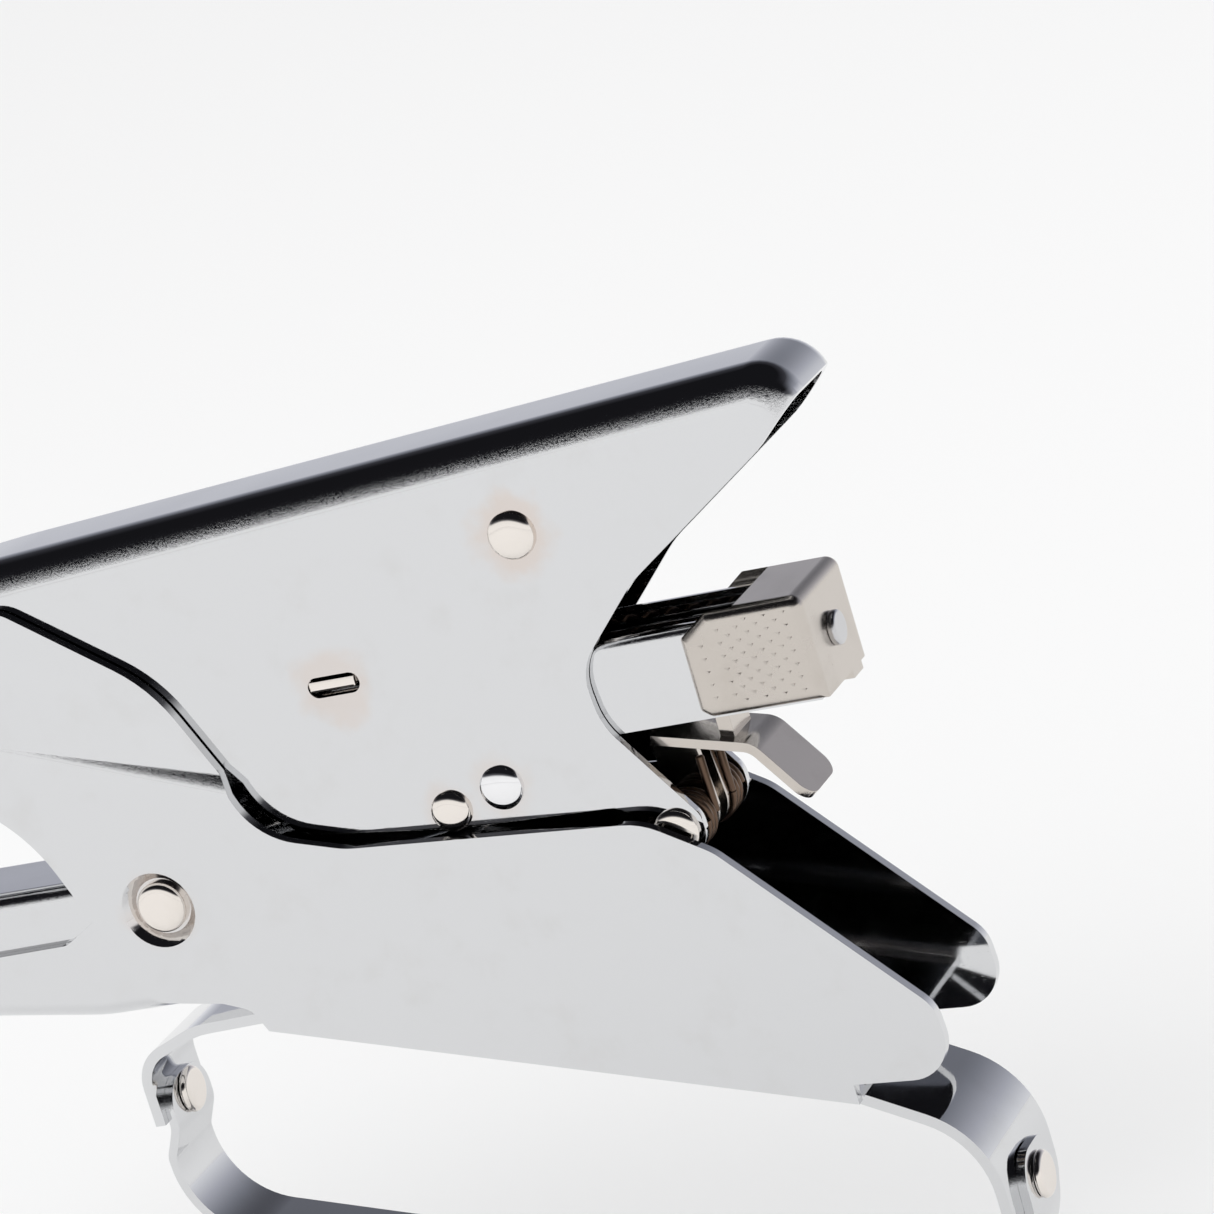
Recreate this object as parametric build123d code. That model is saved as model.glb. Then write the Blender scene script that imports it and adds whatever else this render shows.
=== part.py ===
# Plier stapler: an all-metal squeeze stapler with a palm handle above, a finger hoop below,
# a long magazine that pulls out at the back, and an anvil arm that swings up to meet it.
#
# Frame while modelling: X runs along the magazine, front of the jaw at -X and palm at +X,
# Y is across the tool, Z is up, and the tool is mirror-symmetric about Y = 0.
# Side outlines are lists of (x, z, corner radius). At the end everything moves so that the
# origin is the centre of the bottom of the bounding box. All sizes are in millimetres.

import os
from math import atan2, cos, degrees, hypot, radians, sin, tan

from build123d import *

# ---- driving dimensions ------------------------------------------------------------------

staple_crown = 12.7          # outer width of the staples that the magazine takes
staple_leg = 6.35
staple_wire = 0.5

magazine_wall = 0.6
magazine_width = staple_crown + 0.4 + 2 * magazine_wall
magazine_floor = -3.3        # underside of the magazine
magazine_top = 6.0
magazine_front = -113.2
magazine_rear = 50.4
skirt_bottom = -5.7          # deeper walls at the back of the magazine
skirt_front = 12.0

side_gap = 0.15              # clearance on each side of the magazine
handle_wall = 1.1
handle_width = magazine_width + 2 * (side_gap + handle_wall)
handle_bend = 4.4            # outer radius of the handle's long top bends

lever_wall = 1.4
lever_width = 23.0
lever_bend = 3.0
neck_width = 20.2            # the lever's front plates are pressed inwards, above the joggle
joggle_height = 2.4

arm_wall = 1.2
core_width = 14.0
trough_width = core_width + 2 * arm_wall

strike_x = -114.2            # plane of the driver blade
blade_thickness = 0.8

front_pivot = (-59.6, 11.8)      # finger lever on the upper jaw
link_pivot = (-41.5, -16.8)      # finger lever in the anvil arm's slot
slot_drop = 0.18                 # the slot sits a little below the link pin's path
arm_pivot = (0.0, -11.3)         # anvil arm on the handle
driver_pivot = (18.6, 21.3)      # driver arm in the handle
drive_point = (-86.5, 20.7)      # cross pin that pushes the driver arm down
latch_pivot = (28.0, -18.5)
body_rivet_at = (7.4, -9.4)

pivot_radius = 2.0
link_radius = 2.5
small_pin_radius = 1.3
running = 0.05               # radial clearance of a pin that turns

rod_height = 0.6             # the pusher rod's axis
rod_radius = 1.0
rod_spring_radius = 2.3

strap_width = 11.0
strap_thickness = 1.2
tongue_front_width = 13.0
tongue_rear_width = 18.6
tongue_front_x = -54.0       # middle of the front tongue's upright end
tongue_rear_x = 55.3         # middle of the rear tongue's upright end
web_slope = radians(-15.5)   # run of the lever's bottom web


# ---- helpers -----------------------------------------------------------------------------

def half(width):
    return width / 2


def bends(points, closed):
    """Lines and tangent arcs through (x, z, corner radius) rows."""
    corners = []
    count = len(points)
    for i in range(count):
        x, z, radius = points[i]
        here = Vector(x, z)
        if radius == 0:
            corners.append((here, here, here))
            continue
        back = (Vector(*points[i - 1][:2]) - here).normalized()
        ahead = (Vector(*points[(i + 1) % count][:2]) - here).normalized()
        opening = radians(back.get_angle(ahead)) / 2
        reach = radius / tan(opening)
        inward = (back + ahead).normalized()
        middle = here + inward * (radius / sin(opening) - radius)
        corners.append((here + back * reach, middle, here + ahead * reach))
    run = []
    for i in range(count):
        start, middle, end = corners[i]
        if (end - start).length > 0.001:
            run.append(ThreePointArc(start, middle, end))
        following = corners[(i + 1) % count][0]
        if (closed or i < count - 1) and (following - end).length > 0.001:
            run.append(Line(end, following))
    return run


def outline(points):
    """Closed face in the XY plane from (x, z, corner radius) rows."""
    return make_face(bends(points, True))


def across(face, y_from, y_to):
    """Stand a face drawn as (x, z) upright and give it the stretch y_from..y_to."""
    solid = extrude(face, amount=y_to - y_from)
    return Pos(0, y_to, 0) * Rot(90, 0, 0) * solid


def slab(points, y_from, y_to):
    return across(outline(points), y_from, y_to)


def sided(points, outer, thickness):
    """The same plate on both sides of the tool: its outer faces are at +-outer."""
    left = slab(points, -outer, -outer + thickness)
    right = slab(points, outer - thickness, outer)
    return left + right


def rod(at, radius, y_from, y_to):
    return across(Pos(at[0], at[1]) * Circle(radius), y_from, y_to)


def block(x_from, x_to, y_from, y_to, z_from, z_to):
    size = (x_to - x_from, y_to - y_from, z_to - z_from)
    centre = ((x_from + x_to) / 2, (y_from + y_to) / 2, (z_from + z_to) / 2)
    return Pos(*centre) * Box(*size)


def strip(points, thickness, width):
    """Bent sheet: a centre line of (x, z, bend radius) rows given thickness and width."""
    line = Wire(bends(points, False))
    return across(trace(line, thickness), -half(width), half(width))


def headed_pin(at, shank, head, head_height, seat):
    """Rivet across the tool: heads with a rounded rim sit outside +-seat."""
    top = seat + head_height
    pin = rod(at, shank, -seat, seat)
    heads = rod(at, head, seat, top) + rod(at, head, -top, -seat)
    rims = heads.edges().filter_by(GeomType.CIRCLE)
    outer_rims = [e for e in rims if abs(abs(e.center().Y) - top) < 0.01]
    heads = fillet(outer_rims, head_height * 0.55)
    return pin + heads


def handle_top(x):
    """Height of the top of the handle at a place along X."""
    slope = 0.0573 if x > -53.7 else 0.11
    return 29.4 + (x + 53.7) * slope


# ---- upper body --------------------------------------------------------------------------

def handle_shell():
    """Palm handle: one inverted channel from the nose of the jaw to the rounded palm end."""
    nose_x = -115.7
    flange = 2.8
    side = [
        (nose_x, 40, 0),
        (62.0, 40, 0),
        (62.0, 32.4, 0),
        (58.0, 31.2, 2),
        (52.0, 25.8, 20),
        (31.6, 12.8, 16),
        (22.0, 3.4, 7),
        (22.5, -3.8, 9),
        (31.6, -17.0, 3),
        (31.6, -22.0, 3.3),
        (24.4, -22.0, 3.3),
        (23.6, -14.4, 4),
        (0.0, -13.7, 40),
        (-20.5, -11.2, 8),
        (-28.4, -5.0, 6),
        (-31.6, 4.6, 18),
        (-37.0, 12.8, 18),
        (-52.2, 23.4, 8),
        (-60.0, handle_top(-60.0) - flange, 10),
        (nose_x, handle_top(nose_x) - flange, 0),
    ]
    reach = half(handle_width)
    outside = bent_roof(nose_x, 58.3, 0.0, reach, handle_bend, 6.0)
    inside = bent_roof(nose_x - 5, 58.3, handle_wall, reach, handle_bend, 6.0)
    shell = outside & slab(side, -20, 20)
    shell = shell - inside
    for place, radius in (
        (driver_pivot, pivot_radius),
        (body_rivet_at, small_pin_radius),
        (arm_pivot, small_pin_radius),
        (latch_pivot, small_pin_radius + 0.2),
    ):
        shell = shell - rod(place, radius, -20, 20)
    slot = Pos(-10.2, 6.9) * SlotOverall(7.0, 2.6)
    return shell - across(slot, -20, 20)


def bent_roof(x_from, x_to, inset, reach, bend, end_bend):
    """Solid under the handle's roof line, with rounded long edges and a rounded back end."""
    top = [
        (x_from, handle_top(x_from) - inset, 0),
        (-53.7, handle_top(-53.7) - inset, 200),
        (x_to - inset, handle_top(x_to) - inset, end_bend - inset),
        (x_to - inset, -40.0, 0),
        (x_from, -40.0, 0),
    ]
    width = reach - inset
    solid = slab(top, -width, width)
    ridge = [e for e in solid.edges() if abs(abs(e.center().Y) - width) < 0.01
             and e.center().Z > 10 and e.center().X > x_from + 1]
    back = [e for e in solid.edges() if abs(abs(e.center().Y) - width) < 0.01
            and abs(e.center().X - x_to + inset) < 0.01]
    return fillet(ridge + back, bend - inset)


def magazine_guide():
    """Web over the magazine with side walls in the jaw and a tab through each handle slot."""
    web_low = magazine_top + 0.6
    web_high = web_low + 0.9
    wall_outer = 8.1
    jaw_end = -46.0
    front = magazine_front - 0.2
    roof = block(front, jaw_end, -wall_outer, wall_outer, web_low, web_high)
    skirts = block(front, jaw_end, -wall_outer, wall_outer, magazine_floor + 0.7, web_high)
    channel = skirts + roof
    channel = fillet(
        [e for e in channel.edges().filter_by(Axis.X) if e.center().Z > web_low], 1.4
    )
    inner = half(magazine_width) + side_gap
    channel = channel - block(front - 1, jaw_end + 1, -inner, inner, -20, web_low)
    tail = block(jaw_end, 20, -inner + 0.1, inner - 0.1, web_low, web_high)
    tab = block(-13.2, -7.2, -half(handle_width), half(handle_width), web_low, web_high)
    window = block(-66, -53, -3, 3, web_low - 1, web_high + 1)
    return channel + tail + tab - window - nose_rivets()


def pivot_bracket():
    """Upward ears on the guide that carry the finger lever's pivot."""
    base_low = magazine_top + 1.5
    outer = 8.1
    thickness = 0.8
    ear = [
        (-70.0, base_low, 0),
        (-67.0, base_low + 3.5, 3),
        (-64.6, 17.0, 4.5),
        (-54.6, 17.0, 4.5),
        (-52.2, base_low + 3.5, 3),
        (-49.2, base_low, 0),
    ]
    ears = sided(ear, outer, thickness)
    base = block(-70, -49.2, -outer, outer, base_low, base_low + thickness)
    window = block(-66, -53, -3, 3, base_low - 1, base_low + 2)
    return ears + base - window - rod(front_pivot, pivot_radius + running, -12, 12)


def nose_plate():
    """Front cover: a folded sheet that closes the jaw's nose and guides the blade."""
    front = -116.8
    wall = 1.0
    inner = half(handle_width)
    top = handle_top(front) - 0.3
    low = magazine_floor + 0.6
    side = [
        (front, low, 0),
        (-107.0, low, 4),
        (-106.0, 14.0, 6),
        (-108.5, top - 1.6, 3),
        (-115.4, top, 2),
        (front, top, 0),
    ]
    body = slab(side, -inner - wall, inner + wall)
    corners = [e for e in body.edges().filter_by(Axis.Z) if abs(e.center().X - front) < 0.01]
    body = fillet(corners, 1.6)
    hollow = block(front + wall, -100, -inner, inner, -20, 40)
    return body - hollow - nose_rivets()


def nose_rivets():
    """Short rivets that hold the nose cover to the guide's walls."""
    seat = half(handle_width) + 1.0
    inner = half(magazine_width) + side_gap
    heads = None
    for sign in (-1, 1):
        low, high = sorted((sign * inner, sign * (seat + 0.8)))
        shank = rod((-109.6, 2.0), 1.1, low, high)
        low, high = sorted((sign * seat, sign * (seat + 0.8)))
        head = rod((-109.6, 2.0), 2.1, low, high)
        rim = [e for e in head.edges().filter_by(GeomType.CIRCLE)
               if abs(e.center().Y - sign * (seat + 0.8)) < 0.01]
        head = fillet(rim, 0.5)
        piece = shank + head
        heads = piece if heads is None else heads + piece
    return heads


def latch_spring():
    """Torsion coil on the latch pin with two straight legs, drawn as its envelope."""
    wire = 1.1
    spring = None
    for low, high, leg in ((-6.9, -2.5, -3.6), (2.5, 6.9, 2.5)):
        coil = rod(latch_pivot, 3.8, low, high) - rod(latch_pivot, 2.6, low - 1, high + 1)
        upper = block(30.6, 30.6 + wire, leg, leg + wire, -18.5, -11.2)
        lower = block(17.5, 28.0, leg, leg + wire, -22.2, -22.2 + wire)
        half_spring = coil + upper + lower
        spring = half_spring if spring is None else spring + half_spring
    return spring


def lever_return_spring():
    """Torsion coil round the finger lever's pivot with a leg on the guide, as its envelope."""
    coil = rod(front_pivot, 2.95, -6.4, 6.4) - rod(front_pivot, pivot_radius + 0.05, -7, 7)
    wire = 0.9
    low = magazine_top + 1.5 + 0.8
    leg = block(-74.0, -60.5, 5.0, 5.0 + wire, low + 0.1, low + 0.1 + wire)
    return coil + leg


# ---- driver ------------------------------------------------------------------------------

def driver_arm():
    """Slim inverted channel under the handle's roof, with a tongue into the blade."""
    reach = 5.5
    wall = 1.0
    side = [
        (22.2, 24.9, 3.4),
        (-62.0, 25.2, 12),
        (-82.0, 18.5, 12),
        (-112.6, 18.2, 1),
        (-112.6, 15.8, 1),
        (-84.0, 15.3, 10),
        (-62.0, 20.9, 12),
        (8.0, 17.7, 6),
        (22.2, 17.7, 3.4),
    ]
    shape = slab(side, -reach, reach)
    hollow = [
        (30.0, 24.9 - wall, 0),
        (-62.0, 25.2 - wall, 12),
        (-82.0, 18.5 - wall, 12),
        (-118.0, 18.1 - wall, 0),
        (-118.0, 5.0, 0),
        (30.0, 5.0, 0),
    ]
    shape = shape - slab(hollow, -reach + wall, reach - wall)
    tongue = block(-115.4, -110.0, -3, 3, 16.1, 17.2)
    shape = shape + tongue
    return shape - rod(driver_pivot, pivot_radius + running, -12, 12)


def driver_blade():
    """Flat blade behind the nose cover; the driver arm's tongue works in its window."""
    x_from = strike_x - half(blade_thickness)
    x_to = strike_x + half(blade_thickness)
    rest_low = magazine_floor + magazine_wall + staple_leg + staple_wire + 0.3
    blade = block(x_from, x_to, -half(staple_crown), half(staple_crown), rest_low, 20.6)
    window = block(x_from - 1, x_to + 1, -3.5, 3.5, 15.7, 17.6)
    return blade - window


def driver_arm_spring():
    """Coil between the guide and the driver arm that opens the tool, drawn as its envelope."""
    low = magazine_top + 1.5
    high = 24.0
    tube = Cylinder(4.0, high - low) - Cylinder(2.9, high - low)
    return Pos(-30.0, 0, (low + high) / 2) * tube


# ---- finger lever ------------------------------------------------------------------------

front_rivet = ((-53.35, -45.0), 90)      # middle of the grip, and how the rivet leans
rear_rivet = ((55.9, -71.9), 90)
web_front = (-31.9, -34.7)
web_rear = (41.9, web_front[1] + (41.9 + 31.9) * sin(web_slope) / cos(web_slope))


def lever_side():
    return [
        (-31.9, -34.7, 0),
        (-33.4, -31.6, 2.6),
        (-37.0, -30.2, 2),
        (-47.4, -28.6, 5),
        (-49.8, -20.0, 14),
        (-55.6, -5.4, 22),
        (-66.0, 4.4, 16),
        (-84.0, 17.2, 5),
        (-91.2, 19.0, 2.9),
        (-90.6, 25.3, 2.9),
        (-62.0, 25.2, 12),
        (-50.8, 24.0, 5),
        (-33.8, 11.2, 20),
        (-28.0, -1.4, 16),
        (-25.4, -9.6, 10),
        (-14.0, -12.9, 12),
        (25.0, -15.8, 10),
        (33.0, -20.8, 8),
        (54.8, -44.2, 5),
        (55.2, -53.4, 5.1),
        (web_rear[0], web_rear[1] + 2.6, 0),
        (web_rear[0], web_rear[1], 0),
    ]


def joggle_frame():
    """Start point and direction of the press line across the lever's plates."""
    start, end = (-57.0, 4.6), (-27.6, -3.8)
    angle = degrees(atan2(end[1] - start[1], end[0] - start[0]))
    return start, angle


def finger_lever():
    """Lower frame: a folded channel whose front plates are pressed in to hug the jaw."""
    outer = half(lever_width)
    neck = half(neck_width)
    start, angle = joggle_frame()
    whole = outline(lever_side())
    local = Pos(*start) * Rot(0, 0, angle)
    neck_zone = local * Pos(-20, 50) * Rectangle(120, 100)
    raised_zone = local * Pos(-20, 50 + joggle_height) * Rectangle(120, 100)
    lower_face = whole - neck_zone
    upper_face = whole & raised_zone
    lever = None
    for side in (-1, 1):
        low, high = sorted((side * outer, side * (outer - lever_wall)))
        plate = across(lower_face, low, high)
        low, high = sorted((side * neck, side * (neck - lever_wall)))
        plate = plate + across(upper_face, low, high)
        ramp = Polyline(
            (0, side * outer),
            (joggle_height, side * neck),
            (joggle_height, side * (neck - lever_wall)),
            (0, side * (outer - lever_wall)),
            close=True,
        )
        profile = make_face(ramp)
        along = Plane(
            origin=(start[0], 0, start[1]),
            x_dir=(-sin(radians(angle)), 0, cos(radians(angle))),
            z_dir=(cos(radians(angle)), 0, sin(radians(angle))),
        )
        ridge = extrude(along * profile, amount=40, both=True)
        ridge = ridge & across(whole, -outer, outer)
        plate = plate + ridge
        lever = plate if lever is None else lever + plate
    lever = lever + lever_web()
    for pivot, face, depth, pin in (
        (link_pivot, outer, 1.6, link_radius),
        (front_pivot, neck, 0.45, pivot_radius),
    ):
        for side in (-1, 1):
            lever = lever + dimple(pivot, side, face, depth, 4.9, 0)
            lever = lever - dimple(pivot, side, face, depth, 4.0, lever_wall)
        lever = lever - rod(pivot, pin, -20, 20)
    return lever - rod(drive_point, pivot_radius, -20, 20)


def dimple(at, side, face, depth, radius, lift):
    """Cone pushed inwards round a pin: the outside form, or with lift the recess in it."""
    inner = face - lever_wall - depth + lift
    outer = face - lever_wall + lift
    cone = Cone(radius + depth * 0.6, radius - 0.3, outer - inner)
    turn = Rot(90 * side, 0, 0)
    return Pos(at[0], side * (inner + outer) / 2, at[1]) * turn * cone


def lever_web():
    """Bottom web with its rounded bends, and the two tongues that hold the strap."""
    outer = half(lever_width)
    length = hypot(web_rear[0] - web_front[0], web_rear[1] - web_front[1])
    tilt = degrees(-web_slope)
    height = 6.0
    beam = Box(length, lever_width, height, align=(Align.MIN, Align.CENTER, Align.MIN))
    lows = [e for e in beam.edges().filter_by(Axis.X) if e.center().Z < 0.1]
    beam = fillet(lows, lever_bend)
    hollow = Box(
        length + 2, lever_width - 2 * lever_wall, height, align=(Align.MIN, Align.CENTER, Align.MIN)
    )
    lows = [e for e in hollow.edges().filter_by(Axis.X) if e.center().Z < 0.1]
    hollow = fillet(lows, lever_bend - lever_wall)
    beam = beam - Pos(-1, 0, lever_wall) * hollow
    beam = Pos(web_front[0], 0, web_front[1]) * Rot(0, tilt, 0) * beam
    mid = half(lever_wall)
    slope = sin(web_slope) / cos(web_slope)
    front_tongue = strip(
        [
            (-24.0, web_front[1] + 7.9 * slope + mid, 0),
            (-33.0, -34.6, 6),
            (-45.0, -35.0, 10),
            (tongue_front_x, -38.4, 5),
            (tongue_front_x, -47.0, 0),
        ],
        lever_wall, tongue_front_width,
    )
    rear_tongue = strip(
        [
            (34.0, web_rear[1] - 7.9 * slope + mid, 0),
            (40.5, -54.9, 8),
            (tongue_rear_x, -62.6, 12.5),
            (tongue_rear_x, -77.4, 14.0),
            (tongue_rear_x - 2.9, -81.5, 0),
        ],
        lever_wall, tongue_rear_width,
    )
    web = beam + front_tongue + rear_tongue
    return web - strap_rivet(*front_rivet) - strap_rivet(*rear_rivet)


def finger_strap():
    """Hoop for the fingers: a bent strap, inside the front tongue and outside the rear one."""
    lap = half(lever_wall) + half(strap_thickness)
    strap = strip(
        [
            (tongue_front_x + lap, -42.2, 0),
            (tongue_front_x + lap, -48.2, 4),
            (-54.5, -51.9, 2),
            (-54.5, -62.0, 12),
            (tongue_rear_x + lap, -93.1, 15.3),
            (tongue_rear_x + lap, -67.6, 0),
        ],
        strap_thickness, strap_width,
    )
    tips = [e for e in strap.edges() if abs(e.length - strap_thickness) < 0.01
            and abs(abs(e.center().Y) - half(strap_width)) < 0.01
            and (e.center().Z > -43 or (e.center().X > 50 and e.center().Z > -68))]
    strap = fillet(tips, 4.2)
    return strap - strap_rivet(*front_rivet) - strap_rivet(*rear_rivet)


def strap_rivet(at, lean):
    """Rivet through tongue and strap: domed head inside the hoop, flat head outside."""
    grip = lever_wall + strap_thickness
    shank = Cylinder(1.8, grip)
    inner = Pos(0, 0, half(grip) + 0.5) * Cylinder(3.0, 1.0)
    inner = fillet([e for e in inner.edges().filter_by(GeomType.CIRCLE)
                    if e.center().Z > half(grip) + 0.9], 0.7)
    outer = Pos(0, 0, -half(grip) - 0.45) * Cylinder(2.8, 0.9)
    outer = fillet([e for e in outer.edges().filter_by(GeomType.CIRCLE)
                    if e.center().Z < -half(grip) - 0.8], 0.6)
    return Pos(at[0], 0, at[1]) * Rot(0, lean, 0) * (shank + inner + outer)


# ---- anvil arm ---------------------------------------------------------------------------

def arm_slot():
    """Slot for the link pin, along the line from the arm's pivot to the pin at rest."""
    dx, dz = link_pivot[0] - arm_pivot[0], link_pivot[1] - arm_pivot[1]
    reach = hypot(dx, dz)
    travel = 6.6
    width = 2 * (link_radius + 0.35)
    middle = reach - half(travel) + 0.3
    ux, uz = dx / reach, dz / reach
    centre = (arm_pivot[0] + ux * middle, arm_pivot[1] + uz * middle - slot_drop)
    shape = SlotCenterToCenter(travel, width)
    return across(Pos(*centre) * Rot(0, 0, degrees(atan2(dz, dx))) * shape, -20, 20)


def arm_core():
    """Inner beam: an inverted channel that carries the anvil and reaches back to its pivot."""
    reach = half(core_width)
    side = [
        (-117.0, -18.0, 1.5),
        (-75.0, -13.3, 20),
        (-52.0, -13.3, 4),
        (-46.0, -10.8, 4),
        (-30.0, -10.2, 10),
        (-3.0, -7.0, 3.9),
        (4.3, -7.0, 3.9),
        (4.3, -15.6, 3.9),
        (-22.0, -18.6, 10),
        (-37.0, -29.2, 6),
        (-60.0, -28.6, 10),
        (-117.0, -23.2, 1.5),
    ]
    hollow = [
        (-130.0, -18.0 - arm_wall - 1.46, 0),
        (-75.0, -13.3 - arm_wall, 20),
        (-52.0, -13.3 - arm_wall, 0),
        (-49.0, -5.0, 0),
        (20.0, -5.0, 0),
        (20.0, -40.0, 0),
        (-130.0, -40.0, 0),
    ]
    beam = slab(side, -reach, reach)
    crest = [e for e in beam.edges() if abs(abs(e.center().Y) - reach) < 0.01
             and e.center().X < -55 and e.center().Z > -19.5 and e.length > 3]
    beam = fillet(crest, 2.0)
    cavity = slab(hollow, -reach + arm_wall, reach - arm_wall)
    beam = beam - cavity
    beam = beam - rod(arm_pivot, small_pin_radius + running, -12, 12)
    return beam - arm_slot() - anvil_rivet()


def arm_trough():
    """Outer channel, open upwards, pressed round the core for strength."""
    reach = half(trough_width)
    side = [
        (-117.0, -21.2, 1.5),
        (-57.6, -20.6, 3),
        (-51.8, -17.4, 3),
        (-50.2, -12.4, 2),
        (-30.0, -12.0, 6),
        (-21.5, -15.6, 3),
        (-21.5, -20.2, 3),
        (-36.6, -31.2, 6),
        (-56.0, -31.2, 30),
        (-72.0, -29.0, 40),
        (-117.0, -24.6, 0),
    ]
    hollow = [
        (-130.0, 0.0, 0),
        (-130.0, -24.6 + arm_wall + 1.26, 0),
        (-117.0, -24.6 + arm_wall, 0),
        (-72.0, -29.0 + arm_wall, 40),
        (-56.0, -31.2 + arm_wall, 30),
        (-36.6, -31.2 + arm_wall, 0),
        (-30.0, -31.2, 0),
        (0.0, -31.2, 0),
        (0.0, 0.0, 0),
    ]
    keel_line = [
        (-117.0, 0.0, 0),
        (-117.0, -24.6, 0),
        (-72.0, -29.0, 40),
        (-56.0, -31.2, 30),
        (-36.6, -31.2, 6),
        (-18.0, -17.9, 0),
        (-18.0, 0.0, 0),
    ]
    keel = slab(keel_line, -reach, reach)
    low = [e for e in keel.edges() if abs(abs(e.center().Y) - reach) < 0.01
           and e.center().Z < -19 and e.center().X > -116.5 and e.center().X < -20]
    keel = fillet(low, 2.4)
    channel = slab(side, -reach, reach) & keel
    channel = channel - slab(hollow, -reach + arm_wall, reach - arm_wall)
    return channel - arm_slot()


def anvil_plate():
    """Hardened pad with two clinching grooves, riveted on the front of the core."""
    length, thickness = 13.0, 1.3
    pad = Box(length, core_width - 1.0, thickness, align=(Align.MIN, Align.CENTER, Align.MIN))
    upright = pad.edges().filter_by(Axis.Z)
    pad = fillet(upright, 1.5)
    groove = Pos(2.9, 0, thickness + 0.5) * Rot(90, 0, 0) * Cylinder(0.9, 5.4)
    pad = pad - Pos(0, 3.4, 0) * groove
    pad = pad - Pos(0, -3.4, 0) * groove
    pad = pad - Pos(9.4, 0, 0) * Cylinder(1.2, 10)
    tilt = degrees(atan2(-13.3 + 18.0, 42.0))
    return Pos(-116.9, 0, -18.0 + 0.02) * Rot(0, -tilt, 0) * pad


def anvil_rivet():
    """Flush rivet that holds the pad to the core's web."""
    tilt = degrees(atan2(-13.3 + 18.0, 42.0))
    length = 1.3 + arm_wall
    shank = Pos(9.4, 0, half(length) - arm_wall) * Cylinder(1.2, length)
    head = Pos(9.4, 0, -arm_wall - 0.3) * Cylinder(2.0, 0.6)
    return Pos(-116.9, 0, -18.0 + 0.02) * Rot(0, -tilt, 0) * (shank + head)


# ---- magazine ----------------------------------------------------------------------------

def magazine_channel():
    """Long tray for the staples: floor, side walls with turned-in lips, skirts at the back."""
    reach = half(magazine_width)
    bend = 1.3
    tray = block(magazine_front, magazine_rear, -reach, reach, magazine_floor, magazine_top)
    bends = [e for e in tray.edges().filter_by(Axis.X)]
    tray = fillet(bends, bend)
    inner = reach - magazine_wall
    bore = block(
        magazine_front - 1, magazine_rear + 1, -inner, inner,
        magazine_floor + magazine_wall, magazine_top - magazine_wall,
    )
    bore = fillet([e for e in bore.edges().filter_by(Axis.X)], bend - magazine_wall)
    mouth = block(magazine_front - 1, magazine_rear + 1, -inner + 1.1, inner - 1.1, 0, 20)
    tray = tray - bore - mouth
    skirt = [
        (skirt_front, magazine_floor + 1.5, 0),
        (skirt_front, magazine_floor - 0.4, 1),
        (skirt_front + 4, skirt_bottom, 2),
        (magazine_rear, skirt_bottom, 0),
        (magazine_rear, magazine_floor + 1.5, 0),
    ]
    return tray + sided(skirt, reach, magazine_wall)


def staple_rail():
    """Inner rail that the staples straddle: a narrow channel on the magazine's floor."""
    reach = half(staple_crown) - staple_wire - 0.25
    wall = 0.7
    low = magazine_floor + magazine_wall
    high = low + staple_leg - 0.1
    rail = block(magazine_front + 0.6, magazine_rear - 6, -reach, reach, low, high)
    channel = block(magazine_front - 2, magazine_rear, -reach + wall, reach - wall, low + wall, 20)
    return rail - channel


def end_cap():
    """Grip at the magazine's back end: side plates, top flange and a rear wall, folded."""
    outer = half(magazine_width) + 0.85
    wall = 0.85
    side = [
        (35.0, 4.7, 0.4),
        (38.9, 7.5, 0.4),
        (51.3, 7.5, 1.6),
        (51.3, -5.6, 0),
        (36.2, -5.6, 1.4),
        (34.9, -4.6, 0.6),
    ]
    body = slab(side, -outer, outer)
    seams = [e for e in body.edges().filter_by(Axis.Z) if abs(e.center().X - 51.3) < 0.01]
    body = fillet(seams, 1.4)
    hollow = block(30, 51.3 - wall, -outer + wall, outer - wall, -20, 7.5 - wall)
    body = body - hollow - Pos(51.3, 0, rod_height) * Rot(0, 90, 0) * Cylinder(rod_radius, 9)
    opening = [
        (30.0, 20.0, 0),
        (30.0, 5.0, 0),
        (42.6, 5.0, 0),
        (42.6, 20.0, 0),
    ]
    body = body - slab(opening, -outer + wall, outer - wall)
    hook = block(46.4, 51.3, 2.0, 5.4, -6.6, -5.6)
    return body + hook


def pusher_rod():
    """Rod for the pusher, riveted over at the end cap's rear wall."""
    head_x = 51.3
    shaft = Rot(0, 90, 0) * Cylinder(rod_radius, 158.0)
    shaft = Pos(head_x - 79.0, 0, rod_height) * shaft
    head = Rot(0, 90, 0) * Cylinder(2.15, 1.0)
    rim = [e for e in head.edges().filter_by(GeomType.CIRCLE) if e.center().X > 0.4]
    head = fillet(rim, 0.45)
    return shaft + Pos(head_x + 0.5, 0, rod_height) * head


def pusher():
    """Block that slides on the rod and pushes the staple strip forward."""
    x_from = magazine_front + 4.2
    x_to = x_from + 9.0
    inner = half(staple_crown) - staple_wire - 0.25 - 0.7 - 0.15
    low = magazine_floor + magazine_wall + 0.9
    core = block(x_from, x_to, -inner, inner, low, 4.9)
    wings = block(x_from, x_to, -half(staple_crown) + 0.3, half(staple_crown) - 0.3, 3.9, 4.9)
    body = core + wings
    bore = Pos((x_from + x_to) / 2, 0, rod_height) * Rot(0, 90, 0)
    return body - bore * Cylinder(rod_radius + 0.1, 20)


def pusher_spring():
    """Long coil behind the pusher, drawn as its envelope."""
    x_from = magazine_front + 4.2 + 9.0
    x_to = 51.3 - 0.85
    length = x_to - x_from
    tube = Cylinder(rod_spring_radius, length) - Cylinder(rod_spring_radius - 0.6, length)
    return Pos((x_from + x_to) / 2, 0, rod_height) * Rot(0, 90, 0) * tube


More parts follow.
